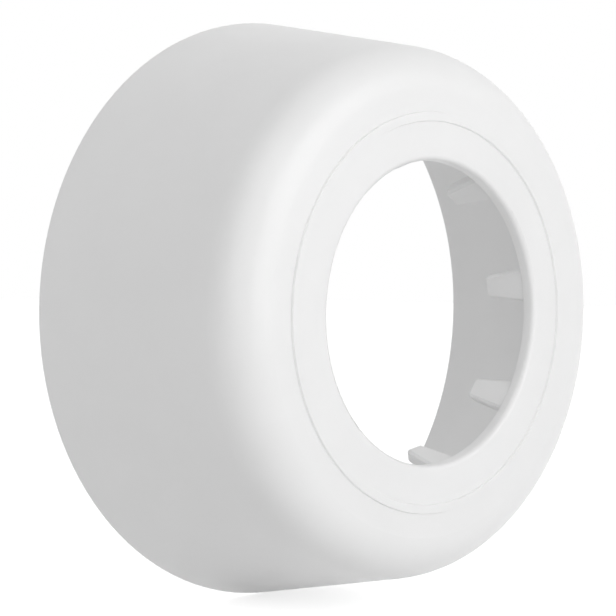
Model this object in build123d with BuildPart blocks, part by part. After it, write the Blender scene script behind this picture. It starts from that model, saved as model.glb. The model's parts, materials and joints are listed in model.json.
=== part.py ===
from build123d import *
from math import cos, radians, tan
import os

# Bore for the pipe, in millimetres
pipe_diameter = 32.0  # waste pipe that the rosette slides over
bore_clearance = 1.1  # gap all round between the pipe and the bore
bore_edge_rounding = 0.55  # front edge of the bore

# Cup, in millimetres and degrees
rim_cover = 17.9  # reach of the open rim beyond the bore, over the hole in the wall
depth = 27.0  # wall face to front face
draft_angle = 11.7  # taper of the side towards the front
front_rounding = 5.2  # between the side and the front face
wall = 1.5  # moulded thickness, the same all over
rim_edge_break = 0.15  # chamfer on the rim's outer edge

# Low raised ring around the bore, on the front face
collar_width = 4.3  # bore wall to the foot of the ring
ring_width = 1.1  # across its foot
ring_height = 0.25
ring_side_angle = 70.0  # slope of its two sides

# Tongues that stand back from the bore's edge and grip the pipe
tongue_count = 8
tongue_phase = 10.9  # first tongue above the horizontal, seen from the front
tongue_length = 4.7  # front plate to tip, along the pipe
tongue_grip = 0.1  # how far the free tips reach inside the pipe's surface
tongue_ledge = 0.1  # step from the bore wall out to the tongue's root
tongue_root_width = 4.0
tongue_root_thickness = 1.9
tongue_root_rounding = 0.4  # behind the root
tongue_tip_width = 2.5
tongue_tip_thickness = 1.5
tongue_edge_break = 0.3  # chamfer around the tip and along the sides

# Sizes that follow from those above
taper = tan(radians(draft_angle))
bore_radius = pipe_diameter / 2 + bore_clearance
rim_radius = bore_radius + rim_cover
inner_rim_radius = rim_radius - wall / cos(radians(draft_angle))
plate_back = depth - wall
tip_height = plate_back - tongue_length
inner_rounding = front_rounding - wall
ring_radius = bore_radius + collar_width + ring_width / 2
root_radius = bore_radius + tongue_ledge
tip_radius = pipe_diameter / 2 - tongue_grip

# The wall is the XZ plane and the pipe runs along Y, with the front face towards -Y.
# In the half section, x runs out from the pipe's axis and y from the wall to the front.
front_view = Plane.XZ
half_section = Plane(origin=(0, 0, 0), x_dir=(1, 0, 0), z_dir=(0, 0, -1))
pipe_axis = Axis.Y

os.makedirs("parts", exist_ok=True)

with BuildPart() as rosette:
    # Section of the cup: tapered side, front plate, and the same wall all the way
    with BuildSketch(half_section) as cup_section:
        with BuildLine():
            Polyline(
                (rim_radius, 0),
                (rim_radius - depth * taper, depth),
                (bore_radius, depth),
                (bore_radius, plate_back),
                (inner_rim_radius - plate_back * taper, plate_back),
                (inner_rim_radius, 0),
                close=True,
            )
        make_face()

        # Concentric roundings inside and outside, the bore's soft edge and the rim's broken one
        inner_corner = cup_section.vertices().group_by(Axis.Y)[1].sort_by(Axis.X)[-1]
        fillet(inner_corner, inner_rounding)
        front_corner = cup_section.vertices().group_by(Axis.Y)[-1].sort_by(Axis.X)[-1]
        fillet(front_corner, front_rounding)
        bore_corner = cup_section.vertices().group_by(Axis.Y)[-1].sort_by(Axis.X)[0]
        fillet(bore_corner, bore_edge_rounding)
        rim_corner = cup_section.vertices().group_by(Axis.Y)[0].sort_by(Axis.X)[-1]
        chamfer(rim_corner, rim_edge_break)

        # Low ring on the front face
        with Locations((ring_radius, depth)):
            Trapezoid(ring_width, ring_height, ring_side_angle, align=(Align.CENTER, Align.MIN))
    revolve(axis=pipe_axis)

    # Tongues, each narrowing and leaning in from the plate to its tip
    with Locations(front_view.offset(plate_back)):
        with PolarLocations(root_radius, tongue_count, start_angle=tongue_phase):
            with Locations((0, -tongue_root_width / 2)):
                Wedge(
                    xsize=tongue_root_thickness,
                    ysize=tongue_length,
                    zsize=tongue_root_width,
                    xmin=tip_radius - root_radius,
                    zmin=(tongue_root_width - tongue_tip_width) / 2,
                    xmax=tip_radius - root_radius + tongue_tip_thickness,
                    zmax=(tongue_root_width + tongue_tip_width) / 2,
                    rotation=(-90, 0, 0),
                    align=None,
                )

    # Broken edges of each tongue, and a fillet behind each root
    tips = rosette.faces().filter_by(pipe_axis).sort_by(SortBy.AREA)[:tongue_count]
    straight_edges = rosette.edges().filter_by(GeomType.LINE)
    slanting_edges = straight_edges.filter_by_position(
        pipe_axis, -plate_back, -tip_height, inclusive=(False, False)
    )
    chamfer(tips.edges() + slanting_edges, tongue_edge_break)
    plate_back_face = rosette.faces().filter_by(pipe_axis).sort_by(SortBy.AREA)[-1]
    plate_lines = plate_back_face.edges().filter_by(GeomType.LINE)
    across_roots = plate_lines.sort_by(SortBy.LENGTH)[-2 * tongue_count :]
    behind_roots = across_roots.sort_by(SortBy.DISTANCE)[-tongue_count:]
    fillet(behind_roots, tongue_root_rounding)

rosette.part.label = "rosette"
export_step(rosette.part, "parts/rosette.step")
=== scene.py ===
import json
from math import pi, radians

import bpy
from mathutils import Matrix, Vector

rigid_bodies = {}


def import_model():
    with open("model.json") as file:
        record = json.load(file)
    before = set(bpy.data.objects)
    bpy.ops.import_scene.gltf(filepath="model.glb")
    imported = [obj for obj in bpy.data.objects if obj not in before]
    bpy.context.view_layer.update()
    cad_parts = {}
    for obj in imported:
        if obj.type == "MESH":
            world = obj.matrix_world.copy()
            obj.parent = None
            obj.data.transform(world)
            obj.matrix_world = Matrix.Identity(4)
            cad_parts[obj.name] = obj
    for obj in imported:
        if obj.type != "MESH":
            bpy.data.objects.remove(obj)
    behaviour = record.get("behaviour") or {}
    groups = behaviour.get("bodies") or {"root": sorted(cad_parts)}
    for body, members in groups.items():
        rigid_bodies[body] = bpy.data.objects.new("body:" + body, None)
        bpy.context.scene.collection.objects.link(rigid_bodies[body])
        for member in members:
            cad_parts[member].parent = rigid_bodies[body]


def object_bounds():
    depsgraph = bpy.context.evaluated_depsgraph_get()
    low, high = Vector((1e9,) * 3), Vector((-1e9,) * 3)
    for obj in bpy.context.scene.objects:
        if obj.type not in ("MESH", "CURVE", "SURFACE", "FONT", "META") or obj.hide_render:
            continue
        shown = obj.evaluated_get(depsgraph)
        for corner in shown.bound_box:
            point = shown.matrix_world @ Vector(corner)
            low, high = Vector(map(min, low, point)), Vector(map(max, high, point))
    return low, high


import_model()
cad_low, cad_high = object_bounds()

# Camera: where it stands and what it looks at, in metres, its roll in degrees,
# lens and sensor in millimetres, and the nearest distance it sees, in metres
CAMERA_PLACE = Vector((-0.14050, -0.15271, 0.00278))
CAMERA_AIM = Vector((-0.00665, -0.01300, 0.00032))
CAMERA_ROLL = 0.713
CAMERA_LENS = 98.1
CAMERA_SENSOR = 36.0
CAMERA_NEAR = 0.01

# Soft lights, in metres and degrees: bearing is from straight in front towards the right,
# rise is above level, and radiance is how bright the lamp's own face looks
LIGHT_DISTANCE = 0.60
KEY_BEARING = 14.0
KEY_RISE = 1.0
KEY_SIZE = (0.62, 0.90)
KEY_RADIANCE = 2.04
FILL_BEARING = -45.0
FILL_RISE = 22.0
FILL_SIZE = (0.40, 1.00)
FILL_RADIANCE = 0.98

# Light from all round, weaker from the front left, and the white ground
WHITE = (1.0, 1.0, 1.0, 1.0)
AMBIENT_SIDE = (-0.35, -0.90, 0.05)
AMBIENT_FAR = 0.72
AMBIENT_NEAR = 0.20
GROUND_SIZE = 6.0
GROUND_COLOUR = (0.82, 0.82, 0.82, 1.0)
GROUND_LIFT = 0.70

# White moulded plastic: colours, how far light goes under the surface, gloss,
# and the size, detail and height of each kind of unevenness, lengths in metres
PLASTIC_COLOUR = (0.870, 0.870, 0.870, 1.0)
PLASTIC_SHADE = (0.852, 0.852, 0.852, 1.0)
PLASTIC_IOR = 1.49
GLOW_WEIGHT = 0.65
GLOW_DEPTH = 0.0025
GLOW_RADIUS = (1.0, 1.0, 1.0)
MOTTLE_SIZE = 0.012
MOTTLE_DETAIL = 4.0
MOTTLE_SPAN = (0.35, 0.65)
SMUDGE_SIZE = 0.005
SMUDGE_DETAIL = 3.0
SMUDGE_SPAN = (0.3, 0.7)
GLOSS_ROUGHNESS = (0.29, 0.35)
WAVE_SIZE = 0.008
WAVE_DETAIL = 1.0
WAVE_HEIGHT = 0.000006
GRAIN_SIZE = 0.0004
GRAIN_DETAIL = 2.0
GRAIN_HEIGHT = 0.0000008


def link(tree, source, output, target, socket):
    tree.links.new(source.outputs[output], target.inputs[socket])


def add_noise(tree, place, size, detail):
    noise = tree.nodes.new("ShaderNodeTexNoise")
    noise.inputs["Scale"].default_value = 1.0 / size
    noise.inputs["Detail"].default_value = detail
    link(tree, place, "Object", noise, "Vector")
    return noise


def add_bump(tree, noise, height, below=None):
    """Bump from a noise, on top of the bump below it where there is one."""
    bump = tree.nodes.new("ShaderNodeBump")
    bump.inputs["Strength"].default_value = 1.0
    bump.inputs["Distance"].default_value = height
    link(tree, noise, "Fac", bump, "Height")
    if below:
        link(tree, below, "Normal", bump, "Normal")
    return bump


def white_plastic():
    material = bpy.data.materials.new("white_plastic_moulded")
    material.use_nodes = True
    tree = material.node_tree
    shader = tree.nodes["Principled BSDF"]
    shader.inputs["IOR"].default_value = PLASTIC_IOR
    shader.inputs["Subsurface Weight"].default_value = GLOW_WEIGHT
    shader.inputs["Subsurface Radius"].default_value = GLOW_RADIUS
    shader.inputs["Subsurface Scale"].default_value = GLOW_DEPTH
    place = tree.nodes.new("ShaderNodeTexCoord")

    # Slightly uneven pigment
    mottle = add_noise(tree, place, MOTTLE_SIZE, MOTTLE_DETAIL)
    colour = tree.nodes.new("ShaderNodeValToRGB")
    dark_end, pale_end = colour.color_ramp.elements
    dark_end.position, pale_end.position = MOTTLE_SPAN
    dark_end.color = PLASTIC_SHADE
    pale_end.color = PLASTIC_COLOUR
    link(tree, mottle, "Fac", colour, "Fac")
    link(tree, colour, "Color", shader, "Base Color")

    # Gloss that varies a little from place to place
    smudge = add_noise(tree, place, SMUDGE_SIZE, SMUDGE_DETAIL)
    gloss = tree.nodes.new("ShaderNodeMapRange")
    gloss.inputs["From Min"].default_value = SMUDGE_SPAN[0]
    gloss.inputs["From Max"].default_value = SMUDGE_SPAN[1]
    gloss.inputs["To Min"].default_value = GLOSS_ROUGHNESS[0]
    gloss.inputs["To Max"].default_value = GLOSS_ROUGHNESS[1]
    link(tree, smudge, "Fac", gloss, "Value")
    link(tree, gloss, "Result", shader, "Roughness")

    # Faint waves from cooling in the mould, and the mould's fine grain
    wave_noise = add_noise(tree, place, WAVE_SIZE, WAVE_DETAIL)
    wave = add_bump(tree, wave_noise, WAVE_HEIGHT)
    grain_noise = add_noise(tree, place, GRAIN_SIZE, GRAIN_DETAIL)
    grain = add_bump(tree, grain_noise, GRAIN_HEIGHT, below=wave)
    link(tree, grain, "Normal", shader, "Normal")
    return material


def seen_ray(tree):
    """1 for rays that show the background: from the camera, off gloss or through glass."""
    path = tree.nodes.new("ShaderNodeLightPath")
    seen = path.outputs["Is Camera Ray"]
    for name in ("Is Glossy Ray", "Is Transmission Ray"):
        either = tree.nodes.new("ShaderNodeMath")
        either.operation = "MAXIMUM"
        tree.links.new(seen, either.inputs[0])
        tree.links.new(path.outputs[name], either.inputs[1])
        seen = either.outputs["Value"]
    return seen


def studio_world():
    world = bpy.data.worlds.new("studio")
    world.use_nodes = True
    tree = world.node_tree

    # Ambient light that fades from the far side to the near one
    ambient = tree.nodes["Background"]
    ambient.inputs["Color"].default_value = WHITE
    direction = tree.nodes.new("ShaderNodeTexCoord")
    nearness = tree.nodes.new("ShaderNodeVectorMath")
    nearness.operation = "DOT_PRODUCT"
    nearness.inputs[1].default_value = Vector(AMBIENT_SIDE).normalized()
    tree.links.new(direction.outputs["Generated"], nearness.inputs[0])
    level = tree.nodes.new("ShaderNodeMapRange")
    level.inputs["From Min"].default_value = -1.0
    level.inputs["To Min"].default_value = AMBIENT_FAR
    level.inputs["To Max"].default_value = AMBIENT_NEAR
    link(tree, nearness, "Value", level, "Value")
    link(tree, level, "Result", ambient, "Strength")

    # White wherever the background itself is seen
    white = tree.nodes.new("ShaderNodeBackground")
    white.inputs["Color"].default_value = WHITE
    choice = tree.nodes.new("ShaderNodeMixShader")
    tree.links.new(seen_ray(tree), choice.inputs["Fac"])
    tree.links.new(ambient.outputs["Background"], choice.inputs[1])
    tree.links.new(white.outputs["Background"], choice.inputs[2])
    link(tree, choice, "Shader", tree.nodes["World Output"], "Surface")
    bpy.context.scene.world = world


def white_ground():
    material = bpy.data.materials.new("ground")
    material.use_nodes = True
    tree = material.node_tree
    tree.nodes.remove(tree.nodes["Principled BSDF"])
    diffuse = tree.nodes.new("ShaderNodeBsdfDiffuse")
    diffuse.inputs["Color"].default_value = GROUND_COLOUR

    # Lifted to white where it is seen, with the part's shadow kept
    glow = tree.nodes.new("ShaderNodeEmission")
    lift = tree.nodes.new("ShaderNodeMath")
    lift.operation = "MULTIPLY"
    lift.inputs[1].default_value = GROUND_LIFT
    tree.links.new(seen_ray(tree), lift.inputs[0])
    link(tree, lift, "Value", glow, "Strength")
    total = tree.nodes.new("ShaderNodeAddShader")
    tree.links.new(diffuse.outputs["BSDF"], total.inputs[0])
    tree.links.new(glow.outputs["Emission"], total.inputs[1])
    link(tree, total, "Shader", tree.nodes["Material Output"], "Surface")

    half = GROUND_SIZE / 2
    mesh = bpy.data.meshes.new("ground")
    corners = [(-half, -half, 0), (half, -half, 0), (half, half, 0), (-half, half, 0)]
    mesh.from_pydata(corners, [], [(0, 1, 2, 3)])
    mesh.materials.append(material)
    ground = bpy.data.objects.new("ground", mesh)
    ground.location.z = cad_low.z
    bpy.context.collection.objects.link(ground)


def soft_light(name, bearing, rise, size, radiance):
    light = bpy.data.lights.new(name, "AREA")
    light.shape = "RECTANGLE"
    light.size, light.size_y = size
    light.energy = radiance * size[0] * size[1] * pi
    lamp = bpy.data.objects.new(name, light)
    sideways = Matrix.Rotation(radians(bearing), 3, "Z")
    upwards = Matrix.Rotation(radians(-rise), 3, "X")
    direction = sideways @ upwards @ Vector((0, -1, 0))
    lamp.location = direction * LIGHT_DISTANCE
    lamp.rotation_euler = (-direction).to_track_quat("-Z", "Y").to_euler()
    bpy.context.collection.objects.link(lamp)


def photo_camera():
    data = bpy.data.cameras.new("camera")
    data.lens = CAMERA_LENS
    data.sensor_width = CAMERA_SENSOR
    data.clip_start = CAMERA_NEAR
    camera = bpy.data.objects.new("camera", data)
    camera.location = CAMERA_PLACE
    upright = (CAMERA_AIM - CAMERA_PLACE).to_track_quat("-Z", "Y").to_matrix()
    roll = Matrix.Rotation(radians(CAMERA_ROLL), 3, "Z")
    camera.rotation_euler = (upright @ roll).to_euler()
    bpy.context.collection.objects.link(camera)
    bpy.context.scene.camera = camera


plastic = white_plastic()
for item in bpy.data.objects:
    if item.type == "MESH" and item.name.startswith("rosette"):
        for slot in item.material_slots:
            slot.material = plastic

studio_world()
white_ground()
soft_light("key", KEY_BEARING, KEY_RISE, KEY_SIZE, KEY_RADIANCE)
soft_light("fill", FILL_BEARING, FILL_RISE, FILL_SIZE, FILL_RADIANCE)
photo_camera()
bpy.context.scene.view_settings.view_transform = "Standard"
